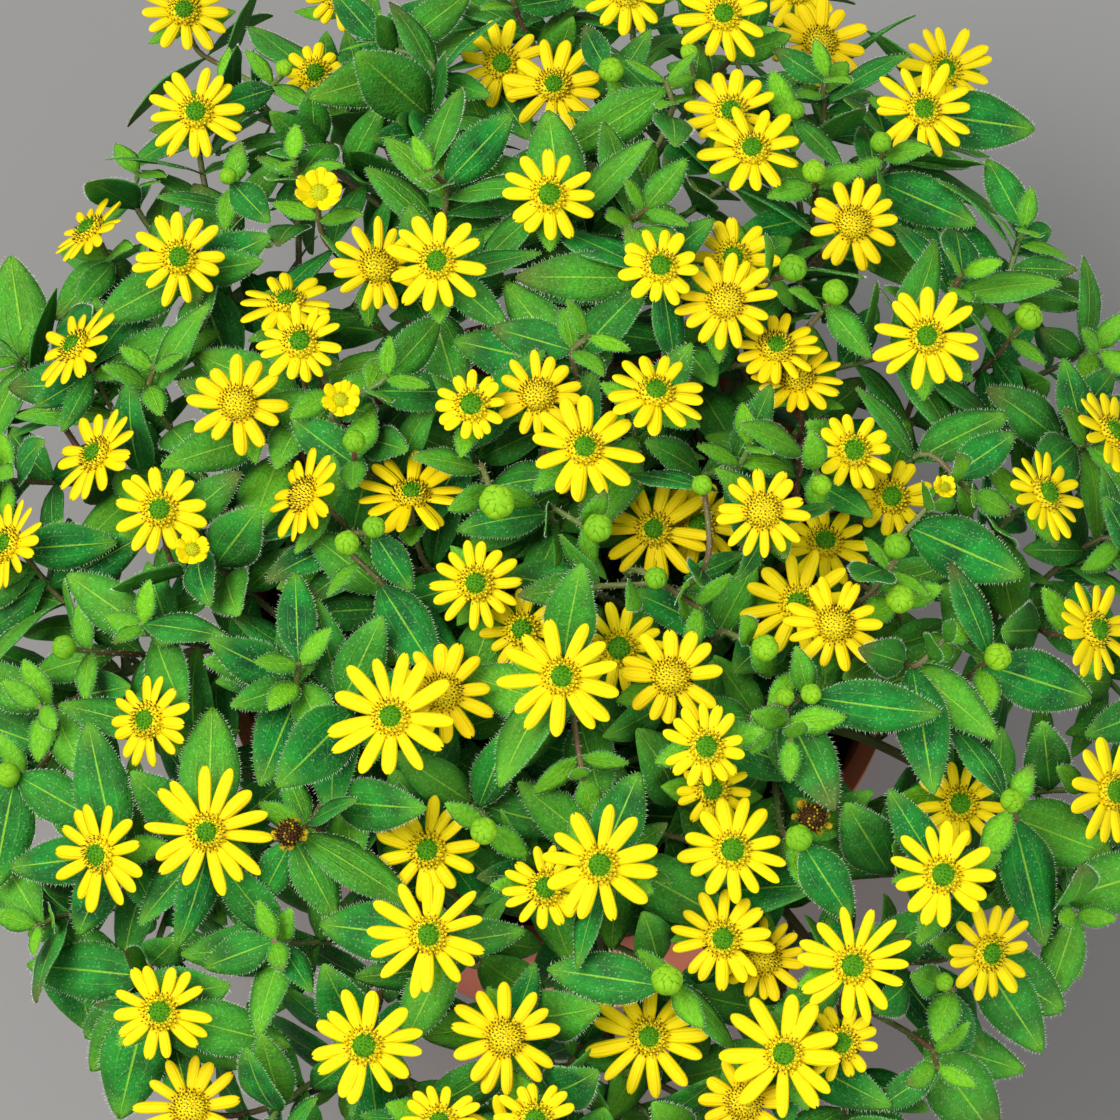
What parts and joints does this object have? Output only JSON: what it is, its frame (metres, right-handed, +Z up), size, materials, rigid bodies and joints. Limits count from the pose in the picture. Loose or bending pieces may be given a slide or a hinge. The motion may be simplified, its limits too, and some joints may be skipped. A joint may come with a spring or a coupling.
{
  "type": "potted creeping zinnia",
  "caption": "Mounded creeping zinnia in a plain clay-coloured nursery pot, thick with small bright yellow daisy-like blooms, round buds and dark hairy leaves.",
  "frame": {"origin": "middle of the flat pad under the pot, on the surface that the pot stands on", "axes": "+Z up; the picture looks along +Y from above, with +X to the right"},
  "size_m": [0.2351, 0.2957, 0.1731],
  "materials": {
    "pot": "matte",
    "soil": "rough",
    "plant": "matte"
  },
  "bodies": {
    "root": {"pot": "pot", "soil": "soil", "spray_inner_1": "plant", "spray_inner_2": "plant", "spray_inner_3": "plant", "spray_inner_4": "plant", "spray_middle_5": "plant", "spray_middle_6": "plant", "spray_middle_7": "plant", "spray_middle_8": "plant", "spray_middle_9": "plant", "spray_middle_10": "plant", "spray_middle_11": "plant", "spray_middle_12": "plant", "spray_middle_13": "plant", "spray_outer_14": "plant", "spray_outer_15": "plant", "spray_outer_16": "plant", "spray_outer_17": "plant", "spray_outer_18": "plant", "spray_outer_19": "plant", "spray_outer_20": "plant", "spray_outer_21": "plant", "spray_outer_22": "plant", "spray_outer_23": "plant", "spray_outer_24": "plant", "spray_outer_25": "plant", "spray_outer_26": "plant"}
  },
  "joints": []
}
